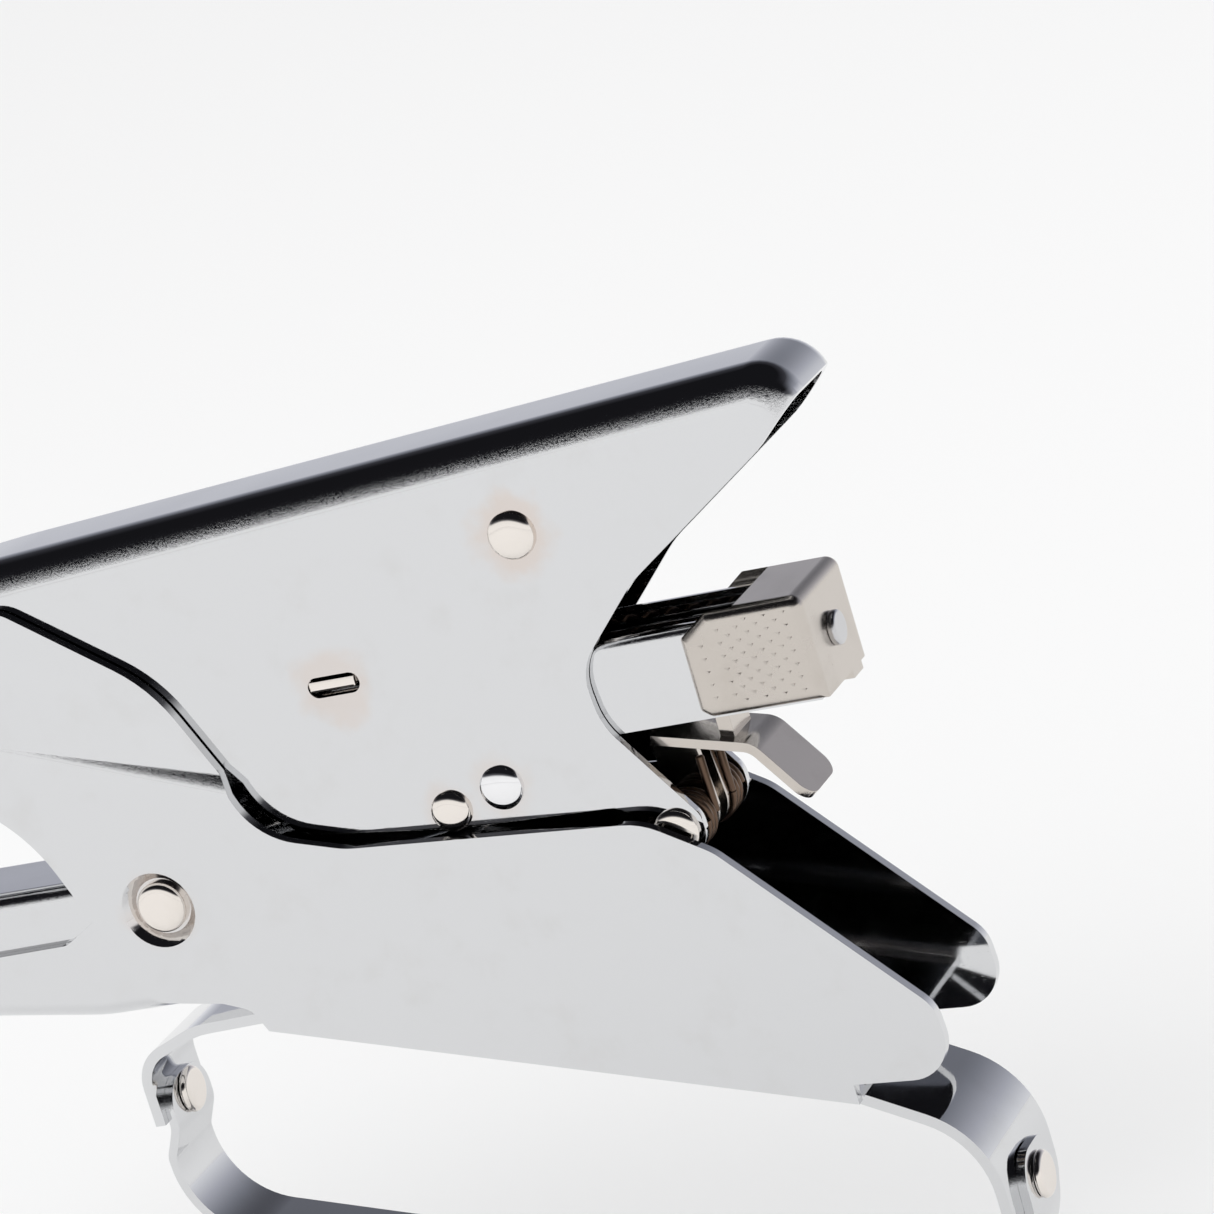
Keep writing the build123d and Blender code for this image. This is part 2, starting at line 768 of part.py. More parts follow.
# ---- latch -------------------------------------------------------------------------------

def latch_lever():
    """Thumb latch: a bent plate with two cheeks on the pin and a tooth under the magazine."""
    width = 9.6
    thickness = 1.2
    plate = strip(
        [
            (26.4, -7.9, 0),
            (38.7, -10.9, 3),
            (44.2, -18.5, 0),
        ],
        thickness, width,
    )
    tips = [e for e in plate.edges() if e.length < 2 and abs(abs(e.center().Y) - half(width)) < 0.01
            and e.center().X > 43]
    plate = fillet(tips, 2.3)
    cheek = [
        (25.4, -7.4, 0.4),
        (30.6, -8.8, 0.4),
        (31.2, -18.5, 2.5),
        (30.6, -21.6, 2.9),
        (25.4, -21.6, 2.9),
        (24.8, -18.5, 2.5),
    ]
    cheeks = sided(cheek, 2.2, 1.0)
    tooth = block(34.6, 36.4, -3.0, 3.0, -10.6, magazine_floor - 0.3)
    lever = plate + cheeks + tooth
    return lever - rod(latch_pivot, small_pin_radius + 0.2 + running, -12, 12)


# ---- assembly ----------------------------------------------------------------------------

handle_seat = half(handle_width)

parts = {
    "handle_shell": handle_shell(),
    "magazine_guide": magazine_guide(),
    "pivot_bracket": pivot_bracket(),
    "nose_plate": nose_plate(),
    "nose_rivets": nose_rivets(),
    "driver_arm_pin": headed_pin(driver_pivot, pivot_radius, 3.0, 1.2, handle_seat),
    "body_rivet": headed_pin(body_rivet_at, small_pin_radius, 2.8, 1.2, handle_seat),
    "body_spacer": rod(body_rivet_at, 2.4, -7.2, 7.2) - rod(body_rivet_at, small_pin_radius, -9, 9),
    "anvil_arm_pin": headed_pin(arm_pivot, small_pin_radius, 2.6, 1.2, handle_seat),
    "latch_pin": headed_pin(latch_pivot, small_pin_radius + 0.2, 2.9, 1.1, handle_seat),
    "latch_spring": latch_spring(),
    "lever_return_spring": lever_return_spring(),
    "driver_arm": driver_arm(),
    "driver_arm_spring": driver_arm_spring(),
    "driver_blade": driver_blade(),
    "finger_lever": finger_lever(),
    "finger_strap": finger_strap(),
    "strap_front_rivet": strap_rivet(*front_rivet),
    "strap_rear_rivet": strap_rivet(*rear_rivet),
    "lever_pivot_pin": headed_pin(front_pivot, pivot_radius, 3.3, 1.1, half(neck_width) - 0.45),
    "link_pin": headed_pin(link_pivot, link_radius, 3.3, 1.4, half(lever_width) - 1.6),
    "drive_pin": headed_pin(drive_point, pivot_radius, 3.0, 0.9, half(neck_width)),
    "arm_core": arm_core(),
    "arm_trough": arm_trough(),
    "anvil_plate": anvil_plate(),
    "anvil_rivet": anvil_rivet(),
    "magazine_channel": magazine_channel(),
    "staple_rail": staple_rail(),
    "end_cap": end_cap(),
    "pusher_rod": pusher_rod(),
    "pusher": pusher(),
    "pusher_spring": pusher_spring(),
    "latch_lever": latch_lever(),
}

box = Compound(children=[Part() + p for p in parts.values()]).bounding_box()
shift = Pos(-(box.min.X + box.max.X) / 2, -(box.min.Y + box.max.Y) / 2, -box.min.Z)

os.makedirs("parts", exist_ok=True)
for name, shape in parts.items():
    export_step(shift * shape, f"parts/{name}.step")

print("overall size:", [round(v, 2) for v in (box.size.X, box.size.Y, box.size.Z)])
print("shift:", [round(v, 4) for v in tuple(shift.position)])
for label, place in (
    ("front pivot", front_pivot), ("link pivot", link_pivot), ("arm pivot", arm_pivot),
    ("driver pivot", driver_pivot), ("latch pivot", latch_pivot),
):
    print(label, round(place[0] + shift.position.X, 4), round(place[1] + shift.position.Z, 4))
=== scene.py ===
import bpy
import math
from mathutils import Matrix, Vector


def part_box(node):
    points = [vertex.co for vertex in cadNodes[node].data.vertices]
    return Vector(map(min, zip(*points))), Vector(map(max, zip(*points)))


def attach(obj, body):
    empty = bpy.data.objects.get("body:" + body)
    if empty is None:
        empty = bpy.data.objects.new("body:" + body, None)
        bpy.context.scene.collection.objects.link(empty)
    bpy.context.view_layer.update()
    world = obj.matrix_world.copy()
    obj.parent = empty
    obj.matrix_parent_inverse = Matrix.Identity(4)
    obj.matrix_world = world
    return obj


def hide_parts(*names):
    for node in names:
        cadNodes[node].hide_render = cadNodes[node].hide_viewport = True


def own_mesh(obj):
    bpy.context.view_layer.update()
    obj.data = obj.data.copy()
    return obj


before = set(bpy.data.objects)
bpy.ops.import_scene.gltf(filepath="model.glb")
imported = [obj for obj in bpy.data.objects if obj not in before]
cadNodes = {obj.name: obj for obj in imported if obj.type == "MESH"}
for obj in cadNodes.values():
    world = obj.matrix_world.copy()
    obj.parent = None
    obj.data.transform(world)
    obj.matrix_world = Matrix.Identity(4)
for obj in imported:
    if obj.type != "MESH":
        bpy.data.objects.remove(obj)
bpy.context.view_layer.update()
mm = 0.001
print("frame loaded:", len(cadNodes), "nodes")


# ---------- small helpers used by every piece

def deselectAll():
    if bpy.context.object and bpy.context.object.mode != "OBJECT":
        bpy.ops.object.mode_set(mode="OBJECT")
    bpy.ops.object.select_all(action="DESELECT")


def makeActive(piece):
    deselectAll()
    piece.select_set(True)
    bpy.context.view_layer.objects.active = piece


def pickFaces(piece, wanted):
    # selects the faces that pass the test and leaves the piece in edit mode
    makeActive(piece)
    bpy.ops.object.mode_set(mode="EDIT")
    bpy.ops.mesh.select_mode(type="FACE")
    bpy.ops.mesh.select_all(action="DESELECT")
    bpy.ops.object.mode_set(mode="OBJECT")
    for face in piece.data.polygons:
        face.select = wanted(face)
    bpy.ops.object.mode_set(mode="EDIT")


def settle(piece):
    # place, turn and size go into the mesh, so the object ends at the origin
    makeActive(piece)
    bpy.ops.object.transform_apply(location=True, rotation=True, scale=True)


def applyModifiers(piece):
    makeActive(piece)
    for modifier in list(piece.modifiers):
        bpy.ops.object.modifier_apply(modifier=modifier.name)


def joinInto(piece, others):
    makeActive(piece)
    for other in others:
        other.select_set(True)
    bpy.ops.object.join()
    return piece


def middleOf(node):
    low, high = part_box(node)
    return (low + high) / 2


def finishPiece(piece, name, body, replaced, material, smoothAngle=30):
    piece.name = name
    piece.data.name = name
    makeActive(piece)
    bpy.ops.object.shade_smooth_by_angle(angle=math.radians(smoothAngle))
    weighted = piece.modifiers.new("evenShading", "WEIGHTED_NORMAL")
    weighted.weight = 100
    weighted.keep_sharp = True
    applyModifiers(piece)
    piece.data.materials.clear()
    piece.data.materials.append(material)
    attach(piece, body)
    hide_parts(*replaced)
    return piece


# ---------- shared effects

def newGroup(name, inputs, outputs):
    group = bpy.data.node_groups.new(name, "ShaderNodeTree")
    for label, kind, value in inputs:
        socket = group.interface.new_socket(name=label, in_out="INPUT", socket_type=kind)
        socket.default_value = value
    for label, kind in outputs:
        group.interface.new_socket(name=label, in_out="OUTPUT", socket_type=kind)
    start = group.nodes.new("NodeGroupInput")
    end = group.nodes.new("NodeGroupOutput")
    return group, start, end


def mathNode(tree, operation, first, second=None, clamp=False):
    node = tree.nodes.new("ShaderNodeMath")
    node.operation = operation
    node.use_clamp = clamp
    for socket, value in zip(node.inputs, (first, second)):
        if value is None:
            continue
        if isinstance(value, (int, float)):
            socket.default_value = value
        else:
            tree.links.new(value, socket)
    return node.outputs[0]


def noiseNode(tree, vector, scale, detail, roughness=0.5):
    node = tree.nodes.new("ShaderNodeTexNoise")
    node.inputs["Scale"].default_value = scale
    node.inputs["Detail"].default_value = detail
    node.inputs["Roughness"].default_value = roughness
    tree.links.new(vector, node.inputs["Vector"])
    return node.outputs["Fac"]


def rampNode(tree, value, low, high, bottom=0.0, top=1.0):
    node = tree.nodes.new("ShaderNodeMapRange")
    node.interpolation_type = "SMOOTHSTEP"
    for label, number in (("From Min", low), ("From Max", high), ("To Min", bottom), ("To Max", top)):
        node.inputs[label].default_value = number
    tree.links.new(value, node.inputs["Value"])
    return node.outputs["Result"]


def buildPlateWear():
    # handling smudges, fine scratches, and the speckle that a press leaves on tight bends
    group, start, end = newGroup(
        "plateWear",
        [
            ("Vector", "NodeSocketVector", (0, 0, 0)),
            ("Surface Normal", "NodeSocketVector", (0, 0, 1)),
            ("Smudge", "NodeSocketFloat", 0.5),
            ("Speckle", "NodeSocketFloat", 0.5),
        ],
        [("Roughness", "NodeSocketFloat"), ("Height", "NodeSocketFloat"), ("Bend", "NodeSocketFloat")],
    )
    spot = start.outputs["Vector"]
    smudge = rampNode(group, noiseNode(group, spot, 90, 5, 0.6), 0.48, 0.74)
    streak = group.nodes.new("ShaderNodeMapping")
    streak.inputs["Scale"].default_value = (1.0, 1.0, 9.0)
    group.links.new(spot, streak.inputs["Vector"])
    fine = rampNode(group, noiseNode(group, streak.outputs[0], 700, 3, 0.7), 0.62, 0.72)
    split = group.nodes.new("ShaderNodeSeparateXYZ")
    group.links.new(start.outputs["Surface Normal"], split.inputs[0])
    sideways = mathNode(group, "ABSOLUTE", split.outputs["Y"])
    turned = rampNode(group, sideways, 0.62, 0.86)
    away = rampNode(group, sideways, 0.992, 0.96)
    bend = mathNode(group, "MULTIPLY", turned, away)
    grit = rampNode(group, noiseNode(group, spot, 3600, 4, 0.8), 0.42, 0.66)
    pressed = mathNode(group, "MULTIPLY", mathNode(group, "MULTIPLY", grit, bend), start.outputs["Speckle"])
    wave = noiseNode(group, spot, 55, 1)
    rough = mathNode(group, "MULTIPLY", smudge, mathNode(group, "MULTIPLY", start.outputs["Smudge"], 0.09))
    rough = mathNode(group, "ADD", rough, mathNode(group, "MULTIPLY", fine, 0.05))
    rough = mathNode(group, "ADD", rough, mathNode(group, "MULTIPLY", pressed, 0.06))
    slowWave = mathNode(group, "MULTIPLY", wave, 1.4)
    height = mathNode(group, "ADD", slowWave, mathNode(group, "MULTIPLY", pressed, 0.22))
    height = mathNode(group, "ADD", height, mathNode(group, "MULTIPLY", fine, 0.012))
    group.links.new(rough, end.inputs["Roughness"])
    group.links.new(height, end.inputs["Height"])
    group.links.new(bend, end.inputs["Bend"])
    return group


def buildHeatRing():
    # straw-coloured tint round a place that got hot or was rubbed with oil
    group, start, end = newGroup(
        "heatRing",
        [
            ("Vector", "NodeSocketVector", (0, 0, 0)),
            ("Centre", "NodeSocketVector", (0, 0, 0)),
            ("Radius", "NodeSocketFloat", 0.006),
        ],
        [("Mask", "NodeSocketFloat")],
    )
    gap = group.nodes.new("ShaderNodeVectorMath")
    gap.operation = "SUBTRACT"
    group.links.new(start.outputs["Vector"], gap.inputs[0])
    group.links.new(start.outputs["Centre"], gap.inputs[1])
    flat = group.nodes.new("ShaderNodeVectorMath")
    flat.operation = "MULTIPLY"
    flat.inputs[1].default_value = (1, 0, 1)
    group.links.new(gap.outputs[0], flat.inputs[0])
    length = group.nodes.new("ShaderNodeVectorMath")
    length.operation = "LENGTH"
    group.links.new(flat.outputs[0], length.inputs[0])
    reach = mathNode(group, "DIVIDE", length.outputs["Value"], start.outputs["Radius"])
    ripple = noiseNode(group, start.outputs["Vector"], 260, 3)
    wander = mathNode(group, "MULTIPLY", mathNode(group, "SUBTRACT", ripple, 0.5), 0.9)
    reach = mathNode(group, "ADD", reach, wander)
    group.links.new(rampNode(group, reach, 1.05, 0.55), end.inputs["Mask"])
    return group


plateWear = buildPlateWear()
heatRing = buildHeatRing()
print("shared effects built")


# ---------- materials

def platedMetal(name, look, rings=()):
    material = bpy.data.materials.new(name)
    material.use_nodes = True
    tree = material.node_tree
    shader = tree.nodes["Principled BSDF"]
    place = tree.nodes.new("ShaderNodeTexCoord")
    wear = tree.nodes.new("ShaderNodeGroup")
    wear.node_tree = plateWear
    wear.inputs["Smudge"].default_value = look["smudge"]
    wear.inputs["Speckle"].default_value = look["speckle"]
    tree.links.new(place.outputs["Object"], wear.inputs["Vector"])
    tree.links.new(place.outputs["Normal"], wear.inputs["Surface Normal"])
    tone = tree.nodes.new("ShaderNodeMix")
    tone.data_type = "RGBA"
    tone.inputs["A"].default_value = (*look["colour"], 1)
    tone.inputs["B"].default_value = (*look["dull"], 1)
    patch = noiseNode(tree, place.outputs["Object"], 140, 4, 0.6)
    tree.links.new(rampNode(tree, patch, 0.5, 0.8, 0.0, 0.6), tone.inputs["Factor"])
    colour = tone.outputs["Result"]
    for centre, radius, strength in rings:
        ring = tree.nodes.new("ShaderNodeGroup")
        ring.node_tree = heatRing
        ring.inputs["Centre"].default_value = centre
        ring.inputs["Radius"].default_value = radius
        tree.links.new(place.outputs["Object"], ring.inputs["Vector"])
        tint = tree.nodes.new("ShaderNodeMix")
        tint.data_type = "RGBA"
        tint.blend_type = "MULTIPLY"
        tint.inputs["B"].default_value = (1.0, 0.9, 0.83, 1)
        tree.links.new(mathNode(tree, "MULTIPLY", ring.outputs["Mask"], strength), tint.inputs["Factor"])
        tree.links.new(colour, tint.inputs["A"])
        colour = tint.outputs["Result"]
    tree.links.new(colour, shader.inputs["Base Color"])
    shader.inputs["Metallic"].default_value = look["metallic"]
    rough = mathNode(tree, "ADD", wear.outputs["Roughness"], look["roughness"])
    tree.links.new(rough, shader.inputs["Roughness"])
    bump = tree.nodes.new("ShaderNodeBump")
    bump.inputs["Strength"].default_value = look["bump"]
    bump.inputs["Distance"].default_value = 0.0002
    tree.links.new(wear.outputs["Height"], bump.inputs["Height"])
    tree.links.new(bump.outputs["Normal"], shader.inputs["Normal"])
    return material


def ringsFor(places):
    return [(tuple(middleOf(node)), radius * mm, strength) for node, radius, strength in places]


chromeLook = {
    "colour": (0.70, 0.705, 0.715), "dull": (0.66, 0.66, 0.66), "metallic": 1.0,
    "roughness": 0.045, "smudge": 0.7, "speckle": 1.0, "bump": 0.35,
}
nickelLook = {
    "colour": (0.60, 0.555, 0.51), "dull": (0.52, 0.475, 0.43), "metallic": 1.0,
    "roughness": 0.21, "smudge": 1.0, "speckle": 0.4, "bump": 0.25,
}
steelLook = {
    "colour": (0.60, 0.60, 0.61), "dull": (0.50, 0.49, 0.48), "metallic": 1.0,
    "roughness": 0.14, "smudge": 1.0, "speckle": 0.6, "bump": 0.3,
}
springLook = {
    "colour": (0.13, 0.085, 0.06), "dull": (0.06, 0.045, 0.04), "metallic": 1.0,
    "roughness": 0.3, "smudge": 1.0, "speckle": 0.2, "bump": 0.4,
}
rivetLook = {
    "colour": (0.84, 0.79, 0.74), "dull": (0.74, 0.69, 0.63), "metallic": 1.0,
    "roughness": 0.09, "smudge": 0.8, "speckle": 0.0, "bump": 0.2,
}
mirrorLook = {
    "colour": (0.88, 0.88, 0.89), "dull": (0.80, 0.80, 0.81), "metallic": 1.0,
    "roughness": 0.03, "smudge": 0.6, "speckle": 0.0, "bump": 0.25,
}

handleChrome = platedMetal(
    "handleChrome", chromeLook,
    ringsFor([
        ("driver_arm_pin", 6.2, 0.9), ("anvil_arm_pin", 4.2, 0.5), ("body_rivet", 4.8, 0.5),
    ]) + [((0.01922, 0, 0.09573), 0.0060, 0.7)],      # the last is the guide tab in its slot
)
leverChrome = platedMetal("leverChrome", chromeLook, ringsFor([("link_pin", 5.6, 0.5)]))
hoopChrome = platedMetal("hoopChrome", {**chromeLook, "roughness": 0.06, "speckle": 0.6})
armChrome = platedMetal("armChrome", {**chromeLook, "roughness": 0.08, "speckle": 0.5})
capNickel = platedMetal("capNickel", nickelLook)
latchNickel = platedMetal("latchNickel", {**nickelLook, "roughness": 0.12})
traySteel = platedMetal("traySteel", {**chromeLook, "roughness": 0.07, "speckle": 0.5})
guideSteel = platedMetal("guideSteel", steelLook)
hardSteel = platedMetal("hardSteel", {**steelLook, "colour": (0.42, 0.42, 0.43), "roughness": 0.22})
springWire = platedMetal("springWire", springLook)
rivetNickel = platedMetal("rivetNickel", rivetLook)
rodSteel = platedMetal("rodSteel", {**steelLook, "roughness": 0.2})
rivetMirror = platedMetal("rivetMirror", mirrorLook)
print("materials built")


# ---------- stamped and folded sheet pieces, with their rolled edges

def softenNode(node, edge, steps=2, sharp=32):
    piece = cadNodes[node].copy()
    piece.data = cadNodes[node].data.copy()
    piece.parent = None
    for key in list(piece.keys()):
        del piece[key]
    bpy.context.scene.collection.objects.link(piece)
    makeActive(piece)
    bpy.ops.object.mode_set(mode="EDIT")
    bpy.ops.mesh.select_all(action="SELECT")
    bpy.ops.mesh.remove_doubles(threshold=0.000002)
    bpy.ops.mesh.dissolve_limited(angle_limit=math.radians(0.4))
    bpy.ops.object.mode_set(mode="OBJECT")
    bevel = piece.modifiers.new("rolledEdge", "BEVEL")
    bevel.width = edge * mm
    bevel.segments = steps
    bevel.limit_method = "ANGLE"
    bevel.angle_limit = math.radians(sharp)
    bevel.use_clamp_overlap = True
    bevel.harden_normals = False
    applyModifiers(piece)
    return piece


def softenedSheet(node, name, body, material, edge):
    return finishPiece(softenNode(node, edge), name, body, [node], material)


sheetPieces = [
    # node, piece, body, slot, material, edge radius in mm
    ("handle_shell", "palmHandle", "handle", "nickel_sheet", handleChrome, 0.28),
    ("finger_lever", "leverFrame", "finger_lever", "nickel_sheet", leverChrome, 0.32),
    ("finger_strap", "fingerHoop", "finger_lever", "nickel_sheet", hoopChrome, 0.3),
    ("arm_core", "anvilBeam", "anvil_arm", "arm_nickel", armChrome, 0.25),
    ("arm_trough", "anvilTrough", "anvil_arm", "arm_nickel", armChrome, 0.25),
    ("anvil_plate", "clinchPad", "anvil_arm", "hard_steel", hardSteel, 0.15),
    ("magazine_channel", "magazineTray", "magazine", "guide_steel", traySteel, 0.15),
    ("staple_rail", "stapleRail", "magazine", "guide_steel", guideSteel, 0.15),
    ("latch_lever", "thumbLatch", "latch_lever", "cap_nickel", latchNickel, 0.3),
    ("magazine_guide", "trayGuide", "handle", "guide_steel", guideSteel, 0.2),
    ("pivot_bracket", "pivotBracket", "handle", "guide_steel", guideSteel, 0.2),
    ("nose_plate", "noseCover", "handle", "nickel_sheet", hoopChrome, 0.25),
    ("driver_arm", "driverBeam", "driver_arm", "guide_steel", guideSteel, 0.25),
    ("driver_blade", "driverBlade", "driver_blade", "hard_steel", hardSteel, 0.12),
    ("pusher", "staplePusher", "pusher", "hard_steel", hardSteel, 0.2),
    ("nose_rivets", "noseRivets", "handle", "rivet_steel", rivetNickel, 0.3),
    ("strap_front_rivet", "hoopFrontRivet", "finger_lever", "rivet_steel", rivetNickel, 0.4),
    ("strap_rear_rivet", "hoopRearRivet", "finger_lever", "rivet_steel", rivetNickel, 0.4),
    ("anvil_rivet", "clinchPadRivet", "anvil_arm", "rivet_steel", rivetNickel, 0.15),
    ("pusher_rod", "pusherRod", "magazine", "rivet_steel", rodSteel, 0.2),
    ("body_spacer", "bodySpacer", "handle", "guide_steel", guideSteel, 0.2),
]
for node, name, body, slotName, material, edge in sheetPieces:
    softenedSheet(node, name, body, material, edge)
print("sheet pieces softened:", len(sheetPieces))


# ---------- end cap with its punched grip

grip = {
    # marks in each row from the top, the rows filled from the back edge
    "rows": (3, 4, 4, 5, 4, 5, 4, 5, 4, 5, 4, 5, 4), "across": 2.5, "down": 0.82,
    "radius": 0.62, "flatten": 0.6, "sink": 0.32, "proud": 0.05, "fromBack": 2.3, "fromTop": 1.5,
}


def punchMark(place, side):
    # a three-sided tooth that points into the plate
    deep = grip["sink"] + grip["proud"]
    bpy.ops.mesh.primitive_cone_add(
        vertices=3, radius1=grip["radius"] * mm, radius2=0.04 * mm, depth=deep * mm, location=(0, 0, 0)
    )
    mark = bpy.context.object
    mark.scale = (1, grip["flatten"], 1)
    settle(mark)
    mark.rotation_euler = (math.radians(90 * side), 0, 0)
    mark.location = (place[0], place[1] - side * (deep / 2 - grip["proud"]) * mm, place[2])
    settle(mark)
    return mark


def buildCap():
    cap = softenNode("end_cap", 0.22)
    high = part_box("end_cap")[1]
    back = high.x - grip["fromBack"] * mm
    top = high.z - grip["fromTop"] * mm
    punches = []
    for side in (-1, 1):
        for row, count in enumerate(grip["rows"]):
            for column in range(count):
                along = back - (column + 0.5 * (row % 2)) * grip["across"] * mm
                punches.append(punchMark((along, high.y * side, top - row * grip["down"] * mm), side))
    cutter = joinInto(punches[0], punches[1:])
    cut = cap.modifiers.new("punchedGrip", "BOOLEAN")
    cut.operation = "DIFFERENCE"
    cut.solver = "EXACT"
    cut.object = cutter
    applyModifiers(cap)
    bpy.data.objects.remove(cutter)
    finishPiece(cap, "magazineCap", "magazine", ["end_cap"], capNickel)


buildCap()
print("end cap punched")


# ---------- pins and rivets, each headed at both ends

def roundedHead(headRadius, height, dome):
    # a short straight rim, then a curve that runs from flat-topped at dome 0 to round at dome 1
    rim = height * (0.45 - 0.25 * dome)
    squareness = 6 - 4 * dome
    rings = [(headRadius, 0.0), (headRadius, rim)]
    for step in range(1, 12):
        turn = math.radians(90 * step / 12)
        share = math.cos(turn) ** (2 / squareness)
        rings.append((headRadius * share, rim + (height - rim) * math.sin(turn)))
    rings.append((headRadius * 0.04, height))
    return rings


def growHead(piece, sign, seat, shank, rings):
    pickFaces(piece, lambda face: face.normal.z * sign > 0.9 and face.center.z * sign > seat - 0.00001)
    radius, level = shank, 0.0
    for ringRadius, ringLevel in rings:
        bpy.ops.mesh.extrude_region_move(
            TRANSFORM_OT_translate={"value": (0, 0, sign * (ringLevel - level))}
        )
        share = ringRadius / radius
        bpy.ops.transform.resize(value=(share, share, 1), center_override=(0, 0, 0))
        radius, level = ringRadius, ringLevel
    bpy.ops.object.mode_set(mode="OBJECT")


pins = [
    # node, piece, body, material, slot, head height in mm, dome, shank radius in mm
    ("driver_arm_pin", "driverPin", "handle", rivetNickel, "rivet_steel", 1.2, 0.75, 2.0),
    ("anvil_arm_pin", "armPin", "handle", rivetNickel, "rivet_steel", 1.2, 0.75, 1.3),
    ("body_rivet", "bodyRivet", "handle", rivetMirror, "bright_chrome", 1.2, 1.0, 1.3),
    ("latch_pin", "latchPin", "handle", rivetNickel, "rivet_steel", 1.1, 0.6, 1.5),
    ("lever_pivot_pin", "leverPin", "finger_lever", rivetNickel, "rivet_steel", 1.1, 0.3, 2.0),
    ("link_pin", "linkPin", "finger_lever", rivetNickel, "rivet_steel", 1.4, 0.2, 2.5),
    ("drive_pin", "drivePin", "finger_lever", rivetNickel, "rivet_steel", 0.9, 0.4, 2.0),
]


def buildPin(node, name, body, material, slotName, height, dome, shank):
    low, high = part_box(node)
    headRadius = (high.x - low.x) / 2
    seat = high.y - height * mm
    deselectAll()
    bpy.ops.mesh.primitive_cylinder_add(
        vertices=64, radius=shank * mm, depth=seat * 2, end_fill_type="NGON", location=(0, 0, 0)
    )
    pin = bpy.context.object
    rings = roundedHead(headRadius, height * mm, dome)
    growHead(pin, 1, seat, shank * mm, rings)
    growHead(pin, -1, seat, shank * mm, rings)
    makeActive(pin)
    bpy.ops.object.mode_set(mode="EDIT")
    bpy.ops.mesh.select_all(action="SELECT")
    bpy.ops.mesh.remove_doubles(threshold=0.000001)
    bpy.ops.mesh.normals_make_consistent(inside=False)
    bpy.ops.object.mode_set(mode="OBJECT")
    middle = middleOf(node)
    pin.location = (middle.x, 0, middle.z)
    pin.rotation_euler = (math.radians(90), 0, 0)
    settle(pin)
    return finishPiece(pin, name, body, [node], material, 40)


for row in pins:
    buildPin(*row)
print("pins built:", len(pins))


# ---------- wound springs

def windCoil(wire, radius, pitch, turns, ringSides=10, stepsPerTurn=26):
    # a wire section swept round Z from the origin upwards, closed at both ends
    deselectAll()
    bpy.ops.mesh.primitive_circle_add(
        vertices=ringSides, radius=wire / 2 * mm, location=(radius * mm, 0, wire / 2 * mm),
        rotation=(math.radians(90), 0, 0),
    )
    coil = bpy.context.object
    settle(coil)
    screw = coil.modifiers.new("wind", "SCREW")
    screw.angle = math.radians(360)
    screw.screw_offset = pitch * mm
    screw.iterations = turns
    screw.steps = stepsPerTurn
    screw.render_steps = stepsPerTurn
    applyModifiers(coil)
    bpy.ops.object.mode_set(mode="EDIT")
    bpy.ops.mesh.select_all(action="SELECT")
    bpy.ops.mesh.remove_doubles(threshold=0.000001)
    bpy.ops.mesh.fill_holes(sides=0)
    bpy.ops.mesh.select_all(action="SELECT")
    bpy.ops.mesh.normals_make_consistent(inside=False)
    bpy.ops.object.mode_set(mode="OBJECT")
    return coil


def wireLeg(start, end, wire):
    # a straight end of the wire, with its tip eased
    start, end = Vector(start), Vector(end)
    run = end - start
    deselectAll()
    bpy.ops.mesh.primitive_cylinder_add(
        vertices=12, radius=wire / 2 * mm, depth=run.length, location=(start + end) / 2,
        rotation=run.to_track_quat("Z", "Y").to_euler(),
    )
    leg = bpy.context.object
    settle(leg)
    bevel = leg.modifiers.new("easedTip", "BEVEL")
    bevel.width = wire * 0.2 * mm
    bevel.segments = 2
    bevel.angle_limit = math.radians(50)
    applyModifiers(leg)
    return leg


latchCoil = {"wire": 1.1, "radius": 3.2, "pitch": 1.09, "turns": 3, "inner": 2.55}      # mm
leverCoil = {
    "wire": 0.9, "radius": 2.48, "pitch": 0.9, "turns": 13, "sides": 8, "steps": 20,
    "legInset": 0.2, "legEnd": 0.3,
}
beamCoil = {"wire": 1.1, "turns": 6, "keep": 0.8}      # keep: share of its length left when pressed
feedCoil = {"wire": 0.6, "turns": 52, "sides": 7, "steps": 14}


def buildLatchSpring():
    low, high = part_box("latch_spring")
    pin = middleOf("latch_pin")
    wire = latchCoil["wire"]
    parts = []
    for side in (-1, 1):
        coil = windCoil(wire, latchCoil["radius"], latchCoil["pitch"], latchCoil["turns"])
        coil.rotation_euler = (math.radians(-90 * side), 0, 0)
        coil.location = (pin.x, latchCoil["inner"] * side * mm, pin.z)
        settle(coil)
        legY = (latchCoil["inner"] + wire / 2) * side * mm
        upX = pin.x + latchCoil["radius"] * mm
        parts += [
            coil,
            wireLeg((upX, legY, pin.z), (upX, legY, high.z - 0.1 * mm), wire),
            wireLeg(
                (pin.x, legY, pin.z - latchCoil["radius"] * mm),
                (low.x + 0.4 * mm, legY, pin.z - latchCoil["radius"] * mm), wire,
            ),
        ]
    spring = joinInto(parts[0], parts[1:])
    finishPiece(spring, "latchSpring", "handle", ["latch_spring"], springWire, 45)


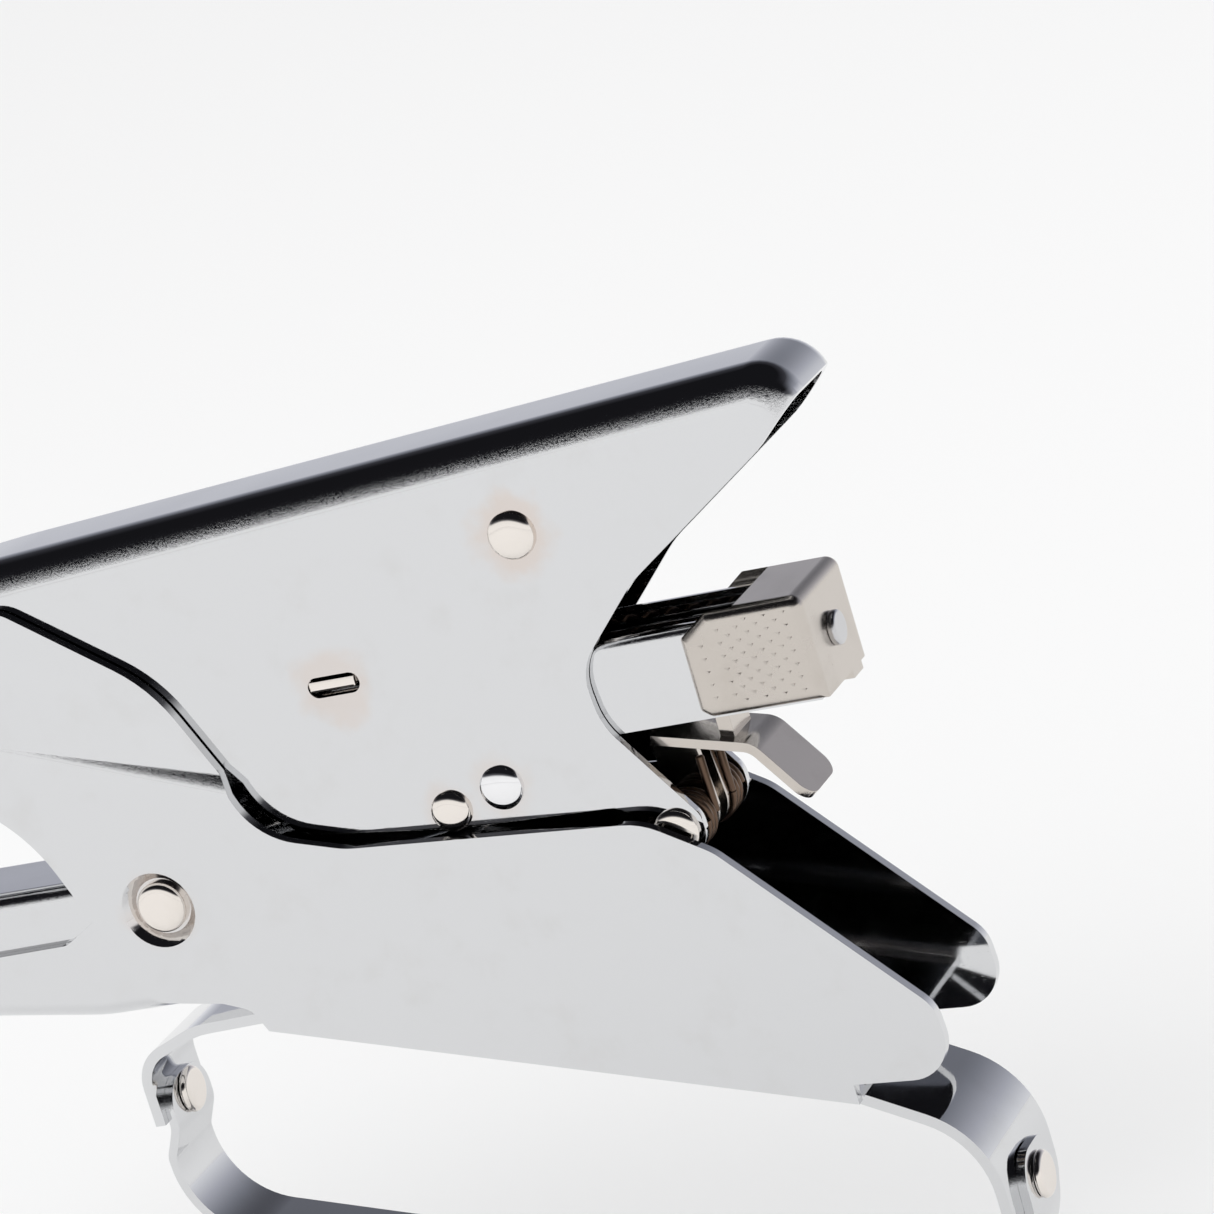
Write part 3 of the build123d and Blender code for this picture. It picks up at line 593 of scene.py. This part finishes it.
def buildLeverSpring():
    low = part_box("lever_return_spring")[0]
    pin = middleOf("lever_pivot_pin")
    wire, pitch, turns = leverCoil["wire"], leverCoil["pitch"], leverCoil["turns"]
    coil = windCoil(wire, leverCoil["radius"], pitch, turns, leverCoil["sides"], leverCoil["steps"])
    coil.rotation_euler = (math.radians(-90), 0, 0)
    coil.location = (pin.x, -(pitch * turns + wire) / 2 * mm, pin.z)
    settle(coil)
    legY = (pitch * turns) / 2 * mm - leverCoil["legInset"] * mm
    legZ = low.z + wire * 0.6 * mm
    leg = wireLeg((pin.x, legY, legZ), (low.x + leverCoil["legEnd"] * mm, legY, legZ), wire)
    spring = joinInto(coil, [leg])
    finishPiece(spring, "leverSpring", "handle", ["lever_return_spring"], springWire, 45)


def buildBeamSpring():
    low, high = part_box("driver_arm_spring")
    middle = middleOf("driver_arm_spring")
    wire, turns = beamCoil["wire"], beamCoil["turns"]
    tall = (high.z - low.z) / mm
    coil = windCoil(wire, (high.x - low.x) / 2 / mm - wire / 2, (tall - wire) / turns, turns)
    coil.location = (middle.x, middle.y, low.z)
    settle(coil)
    finishPiece(coil, "beamSpring", "handle", ["driver_arm_spring"], springWire, 45)
    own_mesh(coil)


def buildFeedSpring():
    low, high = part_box("pusher_spring")
    middle = middleOf("pusher_spring")
    wire, turns = feedCoil["wire"], feedCoil["turns"]
    long = (high.x - low.x) / mm
    coil = windCoil(
        wire, (high.y - low.y) / 2 / mm - wire / 2, (long - wire) / turns, turns,
        feedCoil["sides"], feedCoil["steps"],
    )
    coil.rotation_euler = (0, math.radians(90), 0)
    coil.location = (low.x, middle.y, middle.z)
    settle(coil)
    finishPiece(coil, "feedSpring", "magazine", ["pusher_spring"], springWire, 45)
    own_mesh(coil)


buildLatchSpring()
buildLeverSpring()
buildBeamSpring()
buildFeedSpring()
print("springs wound")


# ---------- bent tabs of the tray guide where they fill the handle's slots

slotTab = {
    "length": 6.1, "thick": 1.25, "out": 0.45, "deep": 1.6, "below": 0.3,
    "inFront": 17.6,      # mm from the body rivet towards the jaw
    "rim": 0.16, "edge": 0.32,
}


def buildSlotTabs():
    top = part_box("magazine_guide")[1].z
    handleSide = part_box("handle_shell")[1].y
    spot = middleOf("body_rivet").x - slotTab["inFront"] * mm
    for side, label in ((-1, "Near"), (1, "Far")):
        deselectAll()
        across = handleSide * side - (slotTab["deep"] / 2 - slotTab["out"]) * side * mm
        bpy.ops.mesh.primitive_cube_add(
            size=1, location=(spot, across, top - slotTab["below"] * mm),
            scale=(slotTab["length"] * mm, slotTab["deep"] * mm, slotTab["thick"] * mm),
        )
        tab = bpy.context.object
        settle(tab)
        pickFaces(tab, lambda f: f.normal.y * side > 0.9)
        bpy.ops.mesh.inset(thickness=slotTab["rim"] * mm, depth=0)
        bpy.ops.transform.translate(value=(-0.12 * mm, -0.14 * side * mm, -0.05 * mm))
        bpy.ops.object.mode_set(mode="OBJECT")
        bevel = tab.modifiers.new("worn", "BEVEL")
        bevel.width = slotTab["edge"] * mm
        bevel.segments = 4
        bevel.angle_limit = math.radians(25)
        applyModifiers(tab)
        tab.name = "slotTab" + label
        makeActive(tab)
        bpy.ops.object.shade_smooth_by_angle(angle=math.radians(40))
        tab.data.materials.append(rivetNickel)
        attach(tab, "handle")


buildSlotTabs()
print("slot tabs built")


# ---------- what shows of the plain CAD nodes that stay

for node, piece in cadNodes.items():
    piece.data.materials.clear()
    piece.data.materials.append(rivetNickel)


# ---------- floor, light and camera

room = {
    "floorSize": 6.0, "floorColour": (0.90, 0.90, 0.90), "keyPower": 2.6, "fillPower": 1.3,
    # what plated metal reflects at each height above the horizon, before and behind the tool
    "frontSky": [
        (0.0, (1.0, 1.0, 1.0)), (0.22, (0.95, 0.95, 0.95)), (0.32, (0.10, 0.10, 0.11)),
        (0.45, (0.010, 0.010, 0.012)), (1.0, (0.010, 0.010, 0.012)),
    ],
    "backSky": [
        (0.0, (0.85, 0.86, 0.90)), (0.24, (0.50, 0.51, 0.57)), (0.45, (0.24, 0.25, 0.29)),
        (0.62, (0.05, 0.05, 0.06)), (0.80, (0.010, 0.010, 0.012)), (1.0, (0.010, 0.010, 0.012)),
    ],
}


def skyRamp(tree, value, stops):
    ramp = tree.nodes.new("ShaderNodeValToRGB")
    ramp.color_ramp.elements[0].position = stops[0][0]
    ramp.color_ramp.elements[0].color = (*stops[0][1], 1)
    ramp.color_ramp.elements[1].position = stops[-1][0]
    ramp.color_ramp.elements[1].color = (*stops[-1][1], 1)
    for height, colour in stops[1:-1]:
        ramp.color_ramp.elements.new(height).color = (*colour, 1)
    tree.links.new(value, ramp.inputs["Fac"])
    return ramp.outputs["Color"]


def buildFloor():
    bpy.ops.mesh.primitive_plane_add(size=room["floorSize"], location=(0, 0, 0))
    floor = bpy.context.object
    floor.name = "floorSheet"
    material = bpy.data.materials.new("paleFloor")
    material.use_nodes = True
    shader = material.node_tree.nodes["Principled BSDF"]
    shader.inputs["Base Color"].default_value = (*room["floorColour"], 1)
    shader.inputs["Roughness"].default_value = 0.9
    shader.inputs["Specular IOR Level"].default_value = 0.1
    floor.data.materials.append(material)
    return floor


def softLight(name, place, target, size, power):
    bpy.ops.object.light_add(type="AREA", location=place)
    light = bpy.context.object
    light.name = name
    light.data.size = size
    light.data.energy = power
    aim = Vector(target) - Vector(place)
    light.rotation_euler = aim.to_track_quat("-Z", "Y").to_euler()
    light.visible_glossy = False
    return light


def buildRoom():
    # white to the eye, with a grey studio and a dark ceiling in the reflections
    world = bpy.data.worlds.new("studio")
    bpy.context.scene.world = world
    world.use_nodes = True
    tree = world.node_tree
    for node in list(tree.nodes):
        tree.nodes.remove(node)
    out = tree.nodes.new("ShaderNodeOutputWorld")
    place = tree.nodes.new("ShaderNodeTexCoord")
    split = tree.nodes.new("ShaderNodeSeparateXYZ")
    tree.links.new(place.outputs["Generated"], split.inputs[0])
    front = skyRamp(tree, split.outputs["Z"], room["frontSky"])
    back = skyRamp(tree, split.outputs["Z"], room["backSky"])
    side = tree.nodes.new("ShaderNodeMix")
    side.data_type = "RGBA"
    tree.links.new(rampNode(tree, split.outputs["Y"], -0.25, 0.35), side.inputs["Factor"])
    tree.links.new(front, side.inputs["A"])
    tree.links.new(back, side.inputs["B"])
    reflected = tree.nodes.new("ShaderNodeBackground")
    tree.links.new(side.outputs["Result"], reflected.inputs["Color"])
    seen = tree.nodes.new("ShaderNodeBackground")
    seen.inputs["Color"].default_value = (1, 1, 1, 1)
    seen.inputs["Strength"].default_value = 1.0
    path = tree.nodes.new("ShaderNodeLightPath")
    choose = tree.nodes.new("ShaderNodeMixShader")
    either = mathNode(tree, "MAXIMUM", path.outputs["Is Camera Ray"], path.outputs["Is Diffuse Ray"])
    tree.links.new(either, choose.inputs[0])
    tree.links.new(reflected.outputs[0], choose.inputs[1])
    tree.links.new(seen.outputs[0], choose.inputs[2])
    tree.links.new(choose.outputs[0], out.inputs["Surface"])


cameraSpot = {
    "place": (0.33419, -0.60332, 0.27083), "target": (0.04817, 0.01095, 0.09374),
    "lean": -16.98, "focal": 170.2,
}


def buildCamera():
    data = bpy.data.cameras.new("viewCamera")
    camera = bpy.data.objects.new("viewCamera", data)
    bpy.context.scene.collection.objects.link(camera)
    data.lens = cameraSpot["focal"]
    data.sensor_width = 36
    data.clip_start = 0.01
    data.clip_end = 20
    aim = Vector(cameraSpot["target"]) - Vector(cameraSpot["place"])
    level = aim.to_track_quat("-Z", "Y").to_matrix()
    lean = Matrix.Rotation(math.radians(cameraSpot["lean"]), 3, "Z")
    camera.matrix_world = Matrix.Translation(cameraSpot["place"]) @ (level @ lean).to_4x4()
    bpy.context.scene.camera = camera


deselectAll()
floor = buildFloor()
lightTarget = (0, 0, 0.05)
lights = [
    softLight("keyLight", (-0.5, -0.9, 1.1), lightTarget, 1.0, room["keyPower"]),
    softLight("fillLight", (0.9, 0.6, 1.0), lightTarget, 1.2, room["fillPower"]),
]
buildRoom()
buildCamera()
bpy.context.scene.view_settings.view_transform = "Standard"
print("room ready")
